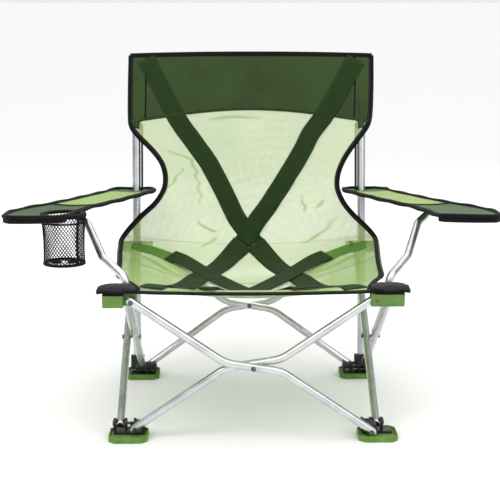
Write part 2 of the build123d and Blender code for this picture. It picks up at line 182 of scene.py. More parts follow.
def rubber():
    """Green rubber with dust in its grain."""
    mat, tree, shader = new_material("foot_rubber", (0.10, 0.22, 0.03), 0.75)
    point = object_point(tree)
    dust = noise(tree, point, 60.0, 8.0)
    tinted(tree, shader, dust, (0.08, 0.18, 0.022), (0.14, 0.27, 0.05))
    bump(tree, shader, noise(tree, point, 600.0, 3.0), 0.35, 0.0006)
    return mat


def blackened_steel():
    """Blackened rivets with a rubbed sheen."""
    mat, tree, shader = new_material("blackened_rivet", (0.06, 0.06, 0.065), 0.38, 0.85)
    wear = noise(tree, object_point(tree), 240.0, 5.0)
    tinted(tree, shader, wear, (0.03, 0.03, 0.033), (0.20, 0.20, 0.21))
    bump(tree, shader, wear, 0.2, 0.0002)
    return mat


def woven(name, dark, light, pitch, openness, floor_alpha, sheen=0.3, doubled=None):
    """Open woven mesh on the piece's own UV map, in metres: threads both ways with holes between."""
    mat, tree, shader = new_material(name, light, 0.62)
    shader.inputs["Sheen Weight"].default_value = sheen
    shader.inputs["Sheen Roughness"].default_value = 0.5
    shader.inputs["Specular IOR Level"].default_value = 0.25
    uv = node(tree, "ShaderNodeUVMap", uv_map="cloth").outputs["UV"]
    bands = 1.0 / pitch / 20.0 * 2 * math.pi
    across = wave(tree, uv, "X", bands)
    down = wave(tree, uv, "Y", bands)
    threads = combine(tree, "MAXIMUM", across, down)
    clouds = noise(tree, object_point(tree), 9.0, 4.0)
    tinted(tree, shader, blend(tree, threads, clouds, 0.35), dark, light)
    if floor_alpha < 1:
        cover = ramp(tree, threads, [(openness - 0.12, (floor_alpha,) * 3), (openness + 0.12, (0.97,) * 3)])
        tree.links.new(cover, shader.inputs["Alpha"])
    if doubled is not None:
        folds = node(tree, "ShaderNodeAttribute", attribute_name="folds").outputs["Fac"]
        single = shader.inputs["Base Color"].links[0].from_socket
        mix = node(tree, "ShaderNodeMix", data_type="RGBA")
        tree.links.new(folds, mix.inputs["Factor"])
        tree.links.new(single, mix.inputs[6])
        mix.inputs[7].default_value = (*doubled, 1)
        tree.links.new(mix.outputs[2], shader.inputs["Base Color"])
        thicker = combine(tree, "MAXIMUM", cover, combine(tree, "MULTIPLY", folds, 0.85))
        tree.links.new(thicker, shader.inputs["Alpha"])
    bump(tree, shader, threads, 0.15, 0.0003)
    return mat


def webbing(name, dark, light, ribs=520.0):
    """Narrow ribbed tape on the piece's UV map, with fuzz in its tone."""
    mat, tree, shader = new_material(name, light, 0.8)
    shader.inputs["Sheen Weight"].default_value = 0.05
    shader.inputs["Specular IOR Level"].default_value = 0.1
    uv = node(tree, "ShaderNodeUVMap", uv_map="cloth").outputs["UV"]
    rib = wave(tree, uv, "DIAGONAL", ribs)
    fuzz = noise(tree, object_point(tree), 130.0, 6.0)
    tinted(tree, shader, blend(tree, rib, fuzz, 0.5), dark, light)
    bump(tree, shader, rib, 0.5, 0.0006)
    return mat


ALUMINIUM = aluminium()
BLACK_PLASTIC = moulded("black_moulding", (0.006, 0.006, 0.007), (0.016, 0.016, 0.018), 0.48)
GREEN_PLASTIC = moulded("green_moulding", (0.075, 0.165, 0.022), (0.12, 0.235, 0.038), 0.45)
RUBBER = rubber()
RIVET = blackened_steel()
MESH_CLOTH = woven(
    "sling_mesh_cloth", (0.33, 0.46, 0.15), (0.50, 0.61, 0.29), 0.0026, 0.79, 0.11, 0.08, (0.27, 0.47, 0.07)
)
HEADER_CLOTH = woven("header_cloth", (0.008, 0.022, 0.004), (0.034, 0.068, 0.012), 0.0018, 0.5, 1.0, 0.04)
ARM_MESH = woven("armrest_mesh", (0.20, 0.34, 0.05), (0.34, 0.50, 0.11), 0.0030, 0.62, 0.40, 0.08)
ARM_CLOTH = woven("armrest_cloth", (0.012, 0.045, 0.005), (0.034, 0.100, 0.012), 0.0018, 0.5, 1.0, 0.05)
BLACK_TAPE = webbing("black_binding", (0.003, 0.003, 0.0035), (0.010, 0.010, 0.011))
GREEN_TAPE = webbing("strap_webbing", (0.010, 0.026, 0.006), (0.028, 0.056, 0.014), 380.0)
VEILED_TAPE = webbing("strap_under_mesh", (0.085, 0.20, 0.028), (0.13, 0.28, 0.045), 380.0)
BOOT_CLOTH = woven("boot_cloth", (0.004, 0.004, 0.0045), (0.014, 0.014, 0.016), 0.0016, 0.5, 1.0, 0.04)
NET_CORD = webbing("net_cord", (0.006, 0.006, 0.007), (0.03, 0.03, 0.032), 900.0)
THREAD = moulded("sewing_thread", (0.03, 0.05, 0.02), (0.09, 0.13, 0.06), 0.7)

FINISHES = (
    (("_pad",), RUBBER),
    (("_shaft", "_pin", "_rivets", "_rivet"), RIVET),
    (("_foot", "_yoke", "_socket", "_knuckle", "_cap"), BLACK_PLASTIC),
    (("_hub",), GREEN_PLASTIC),
)


def finish_cad_nodes():
    """Give every carried-over CAD node its material."""
    for name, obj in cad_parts.items():
        chosen = ALUMINIUM
        for endings, material in FINISHES:
            if name.endswith(endings):
                chosen = material
        for place in range(max(1, len(obj.material_slots))):
            if place < len(obj.material_slots):
                obj.material_slots[place].material = chosen
            else:
                obj.data.materials.append(chosen)


# ---------------------------------------------------------------- mesh helpers
def placed(name, data):
    """New object in the scene."""
    obj = bpy.data.objects.new(name, data)
    bpy.context.scene.collection.objects.link(obj)
    return obj


def mesh_object(name, points, faces, material, uvs=None):
    """Plain mesh object at the origin, with smooth faces and an optional UV for each vertex."""
    mesh = bpy.data.meshes.new(name)
    mesh.from_pydata([tuple(p) for p in points], [], faces)
    mesh.materials.append(material)
    mesh.polygons.foreach_set("use_smooth", [True] * len(mesh.polygons))
    layer = mesh.uv_layers.new(name="cloth")
    if uvs is not None:
        for loop in mesh.loops:
            layer.data[loop.index].uv = uvs[loop.vertex_index]
    mesh.validate()
    return placed(name, mesh)


def wire_object(name, points, edges):
    """Object of bare edges, for a tree to turn into cords or stitches."""
    mesh = bpy.data.meshes.new(name)
    mesh.from_pydata(points, edges, [])
    return placed(name, mesh)


def grid_faces(rows, columns, closed=False):
    """Quads of a grid, optionally joined round its columns."""
    faces = []
    span = columns if closed else columns - 1
    for r in range(rows - 1):
        for c in range(span):
            d = (c + 1) % columns
            here, below = r * columns, (r + 1) * columns
            faces.append((here + c, here + d, below + d, below + c))
    return faces


def apply_modifiers(obj):
    """Turn the evaluated object into a plain mesh."""
    depsgraph = bpy.context.evaluated_depsgraph_get()
    mesh = bpy.data.meshes.new_from_object(obj.evaluated_get(depsgraph))
    obj.modifiers.clear()
    obj.data = mesh
    return obj


def thicken(obj, thickness, offset=0.0):
    """Give a sheet its thickness."""
    solid = obj.modifiers.new("thickness", "SOLIDIFY")
    solid.thickness = thickness
    solid.offset = offset
    return apply_modifiers(obj)


def lengths(grid):
    """Lengths along the cloth, across and down, at every point of a grid."""
    across = np.cumsum(np.linalg.norm(np.diff(grid, axis=1, prepend=grid[:, :1]), axis=2), axis=1)
    down = np.cumsum(np.linalg.norm(np.diff(grid, axis=0, prepend=grid[:1]), axis=2), axis=0)
    return across, down


def sheet_object(name, sample, us, vs, material, thickness=SHEET, tone=None):
    """Thick sheet sampled over two parameters. UVs are lengths along the cloth."""
    grid = np.array([[sample(u, v) for u in us] for v in vs])
    across, down = lengths(grid)
    across = across - across[:, len(us) // 2][:, None]
    uvs = np.stack([across, down], 2).reshape(-1, 2)
    points = grid.reshape(-1, 3)
    obj = mesh_object(name, points, grid_faces(len(vs), len(us)), material, uvs)
    if tone is not None:
        folds = obj.data.attributes.new("folds", "FLOAT", "POINT")
        folds.data.foreach_set("value", [tone(u, v) for v in vs for u in us])
    flat = (float(across[:, -1].max() - across[:, 0].min()), float(down[-1].max()))
    area = float(
        sum(
            np.linalg.norm(np.cross(grid[r + 1, c] - grid[r, c], grid[r, c + 1] - grid[r, c]))
            for r in range(len(vs) - 1)
            for c in range(len(us) - 1)
        )
    )
    return thicken(obj, thickness), flat, area


def squared(value):
    """Sine or cosine pushed outwards, which turns an ellipse into a rounded oblong."""
    return np.sign(value) * np.abs(value) ** 0.6


def tape(name, points, normals, width, thickness, material, closed=False):
    """Soft flat tape along a path: an oval section whose broad face looks along the normals."""
    points = np.array(points, float)
    normals = np.array(normals, float)
    if closed:
        tangents = np.roll(points, -1, 0) - np.roll(points, 1, 0)
    else:
        tangents = np.gradient(points, axis=0)
    tangents /= np.linalg.norm(tangents, axis=1)[:, None]
    normals = normals - (normals * tangents).sum(1)[:, None] * tangents
    normals /= np.linalg.norm(normals, axis=1)[:, None]
    sides = np.cross(tangents, normals)
    ring = 12
    angles = np.arange(ring) / ring * 2 * math.pi
    section = np.stack([squared(np.cos(angles)) * width / 2, squared(np.sin(angles)) * thickness / 2], 1)
    rows = points[:, None] + section[None, :, :1] * sides[:, None] + section[None, :, 1:] * normals[:, None]
    length = np.cumsum(np.linalg.norm(np.diff(points, axis=0, prepend=points[:1]), axis=1))
    count = len(points)
    uvs = [(angles[c] / (2 * math.pi) * 2 * width, length[r]) for r in range(count) for c in range(ring)]
    faces = grid_faces(count, ring, closed=True)
    if closed:
        last = (count - 1) * ring
        faces += [(last + c, last + (c + 1) % ring, (c + 1) % ring, c) for c in range(ring)]
    else:
        faces.append(tuple(range(ring))[::-1])
        faces.append(tuple((count - 1) * ring + c for c in range(ring)))
    obj = mesh_object(name, rows.reshape(-1, 3), faces, material, uvs)
    outward(obj)
    return obj


def outward(obj):
    """Make a closed mesh's faces look outwards."""
    work = bmesh.new()
    work.from_mesh(obj.data)
    bmesh.ops.remove_doubles(work, verts=work.verts, dist=1e-6)
    bmesh.ops.recalc_face_normals(work, faces=work.faces)
    work.to_mesh(obj.data)
    work.free()


def spline(before, start, end, after, t):
    """Curve from start to end that leaves and arrives in line with its neighbours."""
    return 0.5 * (
        2 * start
        + (end - before) * t
        + (2 * before - 5 * start + 4 * end - after) * t**2
        + (3 * start - before - 3 * end + after) * t**3
    )


def between_rows(table, place):
    """Values at a fractional row of a table, on a smooth curve through its rows."""
    last = len(table) - 1
    index = int(min(max(place, 0), last - 1e-9))
    neighbours = [table[min(max(index + k, 0), last)] for k in (-1, 0, 1, 2)]
    return spline(*neighbours, place - index)


def smooth_path(points, count):
    """Even points on a soft spline through a few chosen ones."""
    points = np.array(points, float)
    steps = np.linspace(0, len(points) - 1, count)
    index = np.clip(steps.astype(int), 0, len(points) - 2)
    before, after = points[np.maximum(index - 1, 0)], points[np.minimum(index + 2, len(points) - 1)]
    return spline(before, points[index], points[index + 1], after, (steps - index)[:, None])


# ---------------------------------------------------------------- sling surface
CLEAR = POST_RADIUS + 0.0022    # from a post's middle line to the cloth in front of it
# Stations from the top of the back to the front of the seat, one where the outline or the sag changes:
# edge height and depth, half width, middle height and depth, shift to the right.
STATIONS = np.array(
    [
        (0.7250, post_y(0.725) - CLEAR, 0.2780, 0.7290, post_y(0.729) - 0.006, 0.0055),
        (0.650, post_y(0.650) - CLEAR, 0.2790, 0.655, post_y(0.655) + 0.002, 0.0045),
        (0.590, post_y(0.590) - CLEAR, 0.2780, 0.595, post_y(0.595) + 0.008, 0.0030),
        (0.565, post_y(0.565) - CLEAR, 0.2730, 0.567, post_y(0.567) + 0.010, 0.0010),
        (0.545, post_y(0.545) - 0.010, 0.2590, 0.545, post_y(0.545) + 0.010, 0.0010),
        (0.512, post_y(0.512) - 0.005, 0.2310, 0.512, post_y(0.512) + 0.009, 0.0050),
        (0.484, post_y(0.484) - 0.003, 0.2120, 0.482, post_y(0.482) + 0.008, 0.0070),
        (0.454, post_y(0.454) - 0.003, 0.2020, 0.451, post_y(0.451) + 0.007, 0.0060),
        (0.424, post_y(0.424) - 0.004, 0.2030, 0.419, post_y(0.419) + 0.006, 0.0040),
        (0.393, post_y(0.393) - 0.007, 0.2190, 0.386, post_y(0.386) + 0.004, 0.0010),
        (0.366, post_y(0.366) - CLEAR, 0.2450, 0.356, post_y(0.356) + 0.002, -0.0030),
        (0.342, post_y(0.342) - CLEAR - 0.002, 0.2700, 0.326, post_y(0.326) - 0.002, -0.0020),
        (0.322, post_y(0.320) - CLEAR - 0.006, 0.2880, 0.299, post_y(0.298) - 0.010, -0.0010),
        (0.314, 0.2150, 0.2930, 0.274, 0.2200, -0.0015),
        (0.309, 0.1700, 0.2910, 0.254, 0.1720, -0.0020),
        (0.305, 0.1100, 0.2870, 0.242, 0.1100, -0.0030),
        (0.303, 0.0200, 0.2800, 0.237, 0.0200, -0.0035),
        (0.304, -0.0700, 0.2740, 0.243, -0.0700, -0.0040),
        (0.307, -0.1600, 0.2660, 0.261, -0.1600, -0.0040),
        (0.310, -0.2250, 0.2460, 0.286, -0.2300, -0.0020),
        (0.310, -0.2800, 0.2290, 0.303, -0.2850, 0.0000),
        (0.306, -0.3120, 0.2230, 0.303, -0.3160, 0.0000),
    ]
)
HEADER_END = 1.72           # station where the back's mesh starts, under the header
BACK_END = 12.0             # station of the fold between back and seat
SEAT_SPLIT = 15.3           # station where the rear body's cloth meets the front body's
FRONT_END = len(STATIONS) - 1.0
BACK_ROWS = 13              # stations on the back, whose heights fall all the way


def header_edge(u):
    """Station of the header's arched lower edge, u from -1 to 1 across."""
    return 1.83 + 0.60 * u * u


def level(z):
    """Station at which the sling's middle line has a height, for the back."""
    middle = STATIONS[:BACK_ROWS, 3]
    return float(np.interp(-z, -middle, np.arange(BACK_ROWS)))


def station(s):
    """Smoothly interpolated station."""
    return between_rows(STATIONS, s)


# Folds where slack mesh lies doubled, each a run of (across, station) points
FOLDS = (
    ((-0.203, 5.0), (-0.146, 5.7), (-0.126, 7.0), (-0.112, 9.1)),
    ((-0.155, 6.3), (-0.178, 7.4), (-0.201, 8.4)),
    ((-0.069, 11.4), (-0.112, 12.4)),
    ((-0.120, 10.2), (-0.090, 10.9), (-0.075, 11.0)),
    ((0.118, 12.1), (0.140, 11.8), (0.167, 11.3), (0.208, 10.1)),
    ((0.149, 9.4), (0.176, 8.7)),
    ((0.130, 9.6), (0.120, 8.6)),
    ((-0.100, 2.6), (-0.050, 2.3), (0.030, 2.4)),
    ((-0.250, 14.1), (-0.200, 14.6), (-0.150, 15.2)),
    ((0.255, 13.9), (0.210, 14.4), (0.140, 14.9)),
)
FOLD_WIDTH = 0.0034         # half width of a fold
FOLD_POINTS = 9             # points along one fold
STATION_LENGTH = 0.030      # cloth between two stations, near enough for a fold's width


def fold_segments():
    """Straight bits of every fold, with how full each is at its start and end."""
    bits = []
    for run in FOLDS:
        points = smooth_path([(x, s * STATION_LENGTH) for x, s in run], FOLD_POINTS)
        full = np.sin(np.linspace(0.12, 3.0, FOLD_POINTS)) ** 0.7
        bits += [(*points[k], *points[k + 1], full[k], full[k + 1]) for k in range(FOLD_POINTS - 1)]
    return np.array(bits)


SEGMENTS = fold_segments()


def fold_depth(x, s):
    """How far the mesh is doubled at a place, from 0 to 1."""
    starts, runs = SEGMENTS[:, :2], SEGMENTS[:, 2:4] - SEGMENTS[:, :2]
    here = np.array((x + 0.003 * math.sin(7.3 * s), s * STATION_LENGTH)) - starts
    share = np.clip((here * runs).sum(1) / (runs * runs).sum(1), 0, 1)
    gaps = np.linalg.norm(here - share[:, None] * runs, axis=1)
    full = SEGMENTS[:, 4] + share * (SEGMENTS[:, 5] - SEGMENTS[:, 4])
    return float((full * np.exp(-((gaps / FOLD_WIDTH) ** 2))).max())


def seat_tone(x, s):
    """Deeper green towards the seat's sides, where the mesh is seen at a low angle."""
    return 0.55 * min(1.0, max(0.0, (s - 12.2) / 2.2)) * min(1.0, max(0.15, (abs(x) - 0.06) / 0.12))


def wrinkle(x, s):
    """Small drapes of slack mesh near the waist and over the seat's sides."""
    waist = math.exp(-(((s - 8.5) / 3.2) ** 2)) * math.sin(46 * x + 3.1 * s) * math.cos(1.7 * s + 9 * abs(x))
    sides = math.exp(-(((s - 16.0) / 4.0) ** 2)) * math.sin(70 * abs(x) + 0.8 * s)
    soft = 0.0018 * waist + 0.0018 * sides * min(1, (abs(x) / 0.2) ** 2)
    return soft - 0.0022 * fold_depth(x, s)


def sling_point(x, s, lift=0.0):
    """Point of the sling at a place across, in metres, and a station, lifted towards the sitter."""
    edge_z, edge_y, half, mid_z, mid_y, shift = station(s)
    u = max(-1.0, min(1.0, x / half))
    hollow = 1 - abs(u) ** 2.2
    y = edge_y + (mid_y - edge_y) * hollow
    z = edge_z + (mid_z - edge_z) * hollow
    return np.array((x + shift, y, z)) + sling_normal(s) * (lift + wrinkle(x, s) * (1 - u**6))


def sling_normal(s):
    """Direction towards the sitter on the sling's middle line."""
    low, high = station(max(s - 0.2, 0)), station(min(s + 0.2, FRONT_END))
    run = np.array((0, high[4] - low[4], high[3] - low[3]))
    run /= np.linalg.norm(run)
    return np.array((0, run[2], -run[1]))


def surface_normal(x, s):
    """Direction towards the sitter at any point of the sling."""
    across = sling_point(x + 0.004, s) - sling_point(x - 0.004, s)
    down = sling_point(x, min(s + 0.1, FRONT_END)) - sling_point(x, max(s - 0.1, 0))
    facing = np.cross(down, across)
    return facing / np.linalg.norm(facing)


def across_point(u, s, inset=0.0, lift=0.0):
    """Point of the sling at a share of its half width, u from -1 to 1, with its edges drawn in."""
    return sling_point(u * (station(s)[2] - inset), s, lift)


def mesh_tone(u, s):
    """How deep the mesh's green is: its folds and the seat's sides."""
    x = u * station(s)[2]
    return min(1.0, 0.62 * fold_depth(x, s) + seat_tone(x, s))


def sling_sheet(name, first, last, steps, material):
    """Part of the sling between two stations, edge to edge."""
    us = np.linspace(-1, 1, 141)
    return sheet_object(name, across_point, us, np.linspace(first, last, steps), material, tone=mesh_tone)


def sling_edge(side, first, last, count, inset=0.004):
    """Points and normals down one edge of the sling."""
    stops = np.linspace(first, last, count)
    return [across_point(side, s, inset) for s in stops], [sling_normal(s) for s in stops]


def sling_run(name, route, width, material, lift, count=40, thickness=0.0022):
    """Flat strap that follows the sling along a route of (across, station) points."""
    stops = smooth_path(route, count)
    normals = [surface_normal(x, s) for x, s in stops]
    points = [sling_point(x, s) + lift * n for (x, s), n in zip(stops, normals)]
    return tape(name, points, normals, width, thickness, material)


def gathered(obj, body):
    """Ride on a body, with a mesh of its own."""
    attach(obj, body)
    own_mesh(obj)
    return obj


BACK, REAR_SEAT, FRONT_SEAT = "left_post_frame", "seat_rear_panel", "seat_front_panel"


def header_point(u, v):
    """Point of the header, v from its top to its arched lower edge."""
    return across_point(u, v * header_edge(u), lift=0.0010)


def sling():
    """The sling's cloth, one sheet for each body that carries it."""
    across, down = np.linspace(-1, 1, 61), np.linspace(0, 1, 30)
    header, flat, area = sheet_object("header_sheet", header_point, across, down, HEADER_CLOTH)
    gathered(header, BACK)
    back, flat, area = sling_sheet("back_mesh", HEADER_END, BACK_END, 150, MESH_CLOTH)
    gathered(back, BACK)
    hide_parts("back_panel")
    rear, flat, area = sling_sheet("seat_rear_mesh", BACK_END - 0.02, SEAT_SPLIT, 60, MESH_CLOTH)
    gathered(rear, REAR_SEAT)
    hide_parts("seat_rear")
    fore, flat, area = sling_sheet("seat_front_mesh", SEAT_SPLIT - 0.01, FRONT_END, 90, MESH_CLOTH)
    gathered(fore, FRONT_SEAT)
    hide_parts("seat_front")


def sling_bindings():
    """Black tape round the sling: top, both sides on each body, and the front hem."""
    spans = (
        ("back", 0.0, BACK_END, 110, BACK),
        ("seat_rear", BACK_END, SEAT_SPLIT, 26, REAR_SEAT),
        ("seat_front", SEAT_SPLIT, FRONT_END, 44, FRONT_SEAT),
    )
    for side, side_name in SIDES:
        for span, first, last, count, body in spans:
            points, normals = sling_edge(side, first, last, count)
            edge = tape(f"{side_name}_{span}_binding", points, normals, BINDING, 0.0042, BLACK_TAPE)
            gathered(edge, body)
    us = np.linspace(-1, 1, 50)
    top = [sling_point(u * (station(0)[2] - 0.002), 0.03) for u in us]
    gathered(tape("top_binding", top, [sling_normal(0)] * len(us), BINDING, 0.0044, BLACK_TAPE), BACK)
    hem = [sling_point(u * (station(FRONT_END)[2] - 0.002), FRONT_END - 0.08) for u in us]
    hem_normals = [sling_normal(FRONT_END)] * len(us)
    gathered(tape("front_hem", hem, hem_normals, 0.016, 0.0046, BLACK_TAPE), FRONT_SEAT)
    for side, reach in (("left", -0.2400), ("right", 0.2385)):
        run = [sling_point(reach, s, 0.0018) for s in np.linspace(0.1, 2.2, 24)]
        gathered(tape(f"{side}_sleeve_seam", run, [sling_normal(1)] * 24, 0.0035, 0.0014, BLACK_TAPE), BACK)
    band = [across_point(u, header_edge(u), 0.004, 0.0016) for u in us]
    gathered(tape("header_hem", band, [sling_normal(2)] * len(us), 0.007, 0.0026, GREEN_TAPE), BACK)


def strap_route(side):
    """Straight run of a load strap from a top corner, past the crossing, to the foot of the back."""
    heights = np.linspace(0.715, 0.300, 16)
    drops = (-0.715, -0.586, -0.486, -0.366, -0.300)
    reach = np.interp(-heights, drops, (0.240, 0.167, 0.103, 0.033, -0.014))
    return [(side * x, level(z)) for x, z in zip(reach, heights)]


def mirrored(side, route):
    """Route of (across, station) points taken to one side."""
    return [(side * x, s) for x, s in route]


def straps():
    """Crossed load straps down the back and over the seat, and corner straps from the rear hubs."""
    cross = ((0.014, BACK_END), (0.058, 13.7), (0.088, 14.6), (0.112, SEAT_SPLIT))
    ahead = ((0.112, SEAT_SPLIT), (0.165, 17.8), (0.195, 20.4))
    hidden = ((0.264, 13.3), (0.235, 13.35), (0.205, 13.4), (0.160, 13.75))
    corner = ((0.178, 13.55), (0.150, 13.85), (0.105, 14.6), (0.066, SEAT_SPLIT))
    middle = ((0.066, SEAT_SPLIT), (0.010, 16.4), (-0.080, 19.0), (-0.100, 20.4))
    on_top = 0.0060
    for side, name in SIDES:
        lift = 0.0016 + 0.0024 * (side > 0)
        back = sling_run(f"{name}_back_strap", strap_route(side), STRAP, GREEN_TAPE, lift)
        gathered(back, BACK)
        seat_runs = (
            ("rear", mirrored(-side, cross), STRAP * 1.15, GREEN_TAPE, lift, 20, 0.0022, REAR_SEAT),
            ("fore", mirrored(-side, ahead), STRAP * 1.15, GREEN_TAPE, lift, 24, 0.0022, FRONT_SEAT),
            ("hub", mirrored(side, hidden), STRAP * 1.1, VEILED_TAPE, 0.0016, 16, 0.0014, REAR_SEAT),
            ("corner", mirrored(side, corner), STRAP * 1.25, GREEN_TAPE, on_top, 20, 0.0022, REAR_SEAT),
            ("middle", mirrored(side, middle), STRAP * 1.25, GREEN_TAPE, on_top, 24, 0.0022, FRONT_SEAT),
        )
        for part, *run, body in seat_runs:
            gathered(sling_run(f"{name}_{part}_strap", *run), body)


def post_sleeves():
    """Header cloth sewn round each post with a ragged lower end, and a black tape strip from there down each
    post's inner side that is painted shade, standing in for the tube's shaded inner edge.
    """
    ring = 28
    low, top = 0.560, 0.7275
    closing = 0.003             # height over which the top draws in
    heights = np.linspace(low, top, 30)
    for side, name in SIDES:
        body = f"{name}_post_frame"
        rows = []
        for z in heights:
            close = min(1.0, max(0.0, (z - 0.7245) / closing))
            radius = (POST_RADIUS + 0.0016) * (1 - 0.55 * close**2)
            for c in range(ring):
                angle = c / ring * 2 * math.pi
                ripple = 1 + 0.015 * math.sin(5 * angle + 60 * z)
                x = side * POST_X + radius * ripple * math.cos(angle)
                y = post_y(z) + radius * ripple * math.sin(angle)
                ragged = 0.002 * math.sin(3 * angle) * (z < 0.57)
                rows.append((x, y, z + ragged))
        uvs = [(c / ring * 0.065, z) for z in heights for c in range(ring)]
        faces = grid_faces(len(heights), ring, closed=True)
        faces.append(tuple((len(heights) - 1) * ring + c for c in range(ring)))
        sleeve = mesh_object(f"{name}_post_sleeve", rows, faces, HEADER_CLOTH, uvs)
        thicken(sleeve, 0.0009, 1.0)
        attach(sleeve, body)
        # Black tape down the post's inner side below the sleeve: painted shade, standing in for the shaded
        # inner edge of the tube.
        painted_shade_heights = np.linspace(0.570, 0.415, 26)
        inner = side * (POST_X - POST_RADIUS - 0.0035)
        painted_shade_tape = [(inner, post_y(z) - 0.002, z) for z in painted_shade_heights]
        painted_shade_tape = tape(f"{name}_post_painted_shade", painted_shade_tape, [(side, 0.25, 0)] * len(painted_shade_tape), 0.012, 0.0022, BLACK_TAPE)
        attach(painted_shade_tape, body)


# ---------------------------------------------------------------- armrests
# Matching points on the inner and outer edges, from behind the post to the front:
# inner across and depth, outer across and depth.
ARM_EDGES = np.array(
    [
        (0.238, 0.292, 0.292, 0.291),
        (0.220, 0.272, 0.314, 0.268),
        (0.218, 0.236, 0.322, 0.236),
        (0.252, 0.130, 0.362, 0.130),
        (0.289, 0.030, 0.405, 0.022),
        (0.328, -0.066, 0.452, -0.068),
        (0.349, -0.158, 0.481, -0.140),
        (0.360, -0.212, 0.484, -0.214),
        (0.370, -0.230, 0.470, -0.242),
    ]
)
ARM_LEVEL = 0.4302          # height of an armrest where its depth is zero
ARM_SLOPE = 0.03            # how much it falls towards the rear
TAIL_END = 0.25             # share of its length where the closed cloth at the post ends
OPAQUE_START = 0.54         # share where the closed front patch starts
CUP_LOW, CUP_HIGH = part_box("cup_net")
CUP_AT = ((CUP_LOW[0] + CUP_HIGH[0]) / 2, (CUP_LOW[1] + CUP_HIGH[1]) / 2)
CUP_RADIUS = (CUP_HIGH[0] - CUP_LOW[0]) / 2
CUP_HOLE = 0.038
UPWARD = (0, 0, 1)


def arm_point(side, t, w, lift=0.0):
    """Point of an armrest: t from rear to front, w from its inner edge, -1, to its outer edge, 1."""
    ix, iy, ox, oy = between_rows(ARM_EDGES, t * (len(ARM_EDGES) - 1))
    share = (w + 1) / 2
    x, y = ix + (ox - ix) * share, iy + (oy - iy) * share
    slack = 0.0045 * (1 - w * w) * math.sin(math.pi * min(1, t * 1.08)) ** 0.5 if 0 < t < 0.92 else 0
    z = ARM_LEVEL - ARM_SLOPE * y - slack + 0.0008 * math.sin(60 * y) * (1 - w * w)
    return np.array((side * x, y, z + lift))


def crumpled(obj, name):
    """Ride on an armrest body, with a mesh of its own."""
    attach(obj, f"{name}_arm")
    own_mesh(obj)
    return obj


def cut_hole(obj, centre, radius):
    """Remove the faces of a sheet inside an upright round hole."""
    work = bmesh.new()
    work.from_mesh(obj.data)
    inside = [f for f in work.faces if (f.calc_center_median().xy - Vector(centre)).length < radius]
    bmesh.ops.delete(work, geom=inside, context="FACES")
    rim = [e for e in work.edges if e.is_boundary]
    for v in {v for e in rim for v in e.verts}:
        away = v.co.xy - Vector(centre)
        if away.length < radius * 1.25:
            v.co.xy = Vector(centre) + away.normalized() * radius
    work.to_mesh(obj.data)
    work.free()


def arm_sheet(side, name, part, first, last, steps, material):
    """One sheet of an armrest, between two shares of its length, with the holes it needs."""
    ws, ts = np.linspace(-1, 1, 41), np.linspace(first, last, steps)
    grid = np.array([[arm_point(side, t, w) for w in ws] for t in ts])
    across, down = lengths(grid)
    uvs = np.stack([across, down], 2).reshape(-1, 2)
    faces = grid_faces(steps, len(ws))
    obj = mesh_object(f"{name}_arm_{part}", grid.reshape(-1, 3), faces, material, uvs)
    cut_hole(obj, (side * POST_X, post_y(ARM_LEVEL - 0.008)), POST_RADIUS + 0.0012)
    if side < 0:
        cut_hole(obj, CUP_AT, CUP_HOLE)
    thicken(obj, SHEET)
    crumpled(obj, name)
    if part == "mesh":
        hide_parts(f"{name}_armrest")


def arm_outline(side):
    """Closed line just inside an armrest's edge, with the small waves of a sewn binding."""
    ts = np.linspace(0, 1, 70)
    inner = [arm_point(side, t, -0.97) for t in ts]
    outer = [arm_point(side, t, 0.97) for t in ts[::-1]]
    front = [arm_point(side, 1.0, w) for w in np.linspace(-0.9, 0.9, 14)]
    rear = [arm_point(side, 0.0, w) for w in np.linspace(0.9, -0.9, 8)]
    loop = np.array(inner + front + outer + rear)
    loop[:, 2] += 0.0014 * np.sin(75 * loop[:, 1]) + 0.0008 * np.sin(190 * loop[:, 1] + 2 * side)
    for _ in range(3):
        loop = (np.roll(loop, 1, 0) + 2 * loop + np.roll(loop, -1, 0)) / 4
    return loop


def arm_trim(side, name):
    """Binding round an armrest, the tape over its seam and the drooping lip at its front."""
    loop = arm_outline(side)
    facing = [UPWARD] * len(loop)
    crumpled(tape(f"{name}_arm_binding", loop, facing, 0.011, 0.0075, BLACK_TAPE, closed=True), name)
    seam = [arm_point(side, OPAQUE_START, w, 0.0008) for w in np.linspace(-0.95, 0.95, 20)]
    crumpled(tape(f"{name}_arm_seam", seam, [UPWARD] * len(seam), 0.010, 0.0022, BLACK_TAPE), name)
    droop = -0.006
    lip_t = np.linspace(0.90, 1.0, 10)
    lip = [arm_point(side, t, -0.97, droop) for t in lip_t]
    lip += [arm_point(side, 1.0, w, droop) for w in np.linspace(-0.85, 0.85, 14)]
    lip += [arm_point(side, t, 0.97, droop) for t in lip_t[::-1]]
    lip = smooth_path(lip, 60)
    crumpled(tape(f"{name}_arm_lip", lip, [(0, 0.2, 1)] * len(lip), 0.007, 0.011, BLACK_TAPE), name)


def armrests():
    """Mesh armrests with closed cloth at the post and the front, and bound edges."""
    overlap = 0.005
    for side, name in SIDES:
        arm_sheet(side, name, "tail", 0.0, TAIL_END, 26, ARM_CLOTH)
        arm_sheet(side, name, "mesh", TAIL_END - overlap, OPAQUE_START + overlap, 80, ARM_MESH)
        arm_sheet(side, name, "patch", OPAQUE_START, 1.0, 60, ARM_CLOTH)
        arm_trim(side, name)


# ---------------------------------------------------------------- cup net
def net_radius(h):
    """Radius of the net bag at a share of its height from the bottom."""
    return CUP_RADIUS * (0.90 + 0.08 * h - 0.05 * math.sin(math.pi * h))


def cup_point(angle, radius, z):
    """Point round the net's upright middle line."""
    return (CUP_AT[0] + radius * math.cos(angle), CUP_AT[1] + radius * math.sin(angle), z)


NET_LOW = CUP_LOW[2]
NET_HIGH = ARM_LEVEL - ARM_SLOPE * CUP_AT[1] - 0.002
NET_AROUND, NET_ROWS = 40, 23
FLOOR_SPOKES, FLOOR_RINGS = NET_AROUND // 2, 4


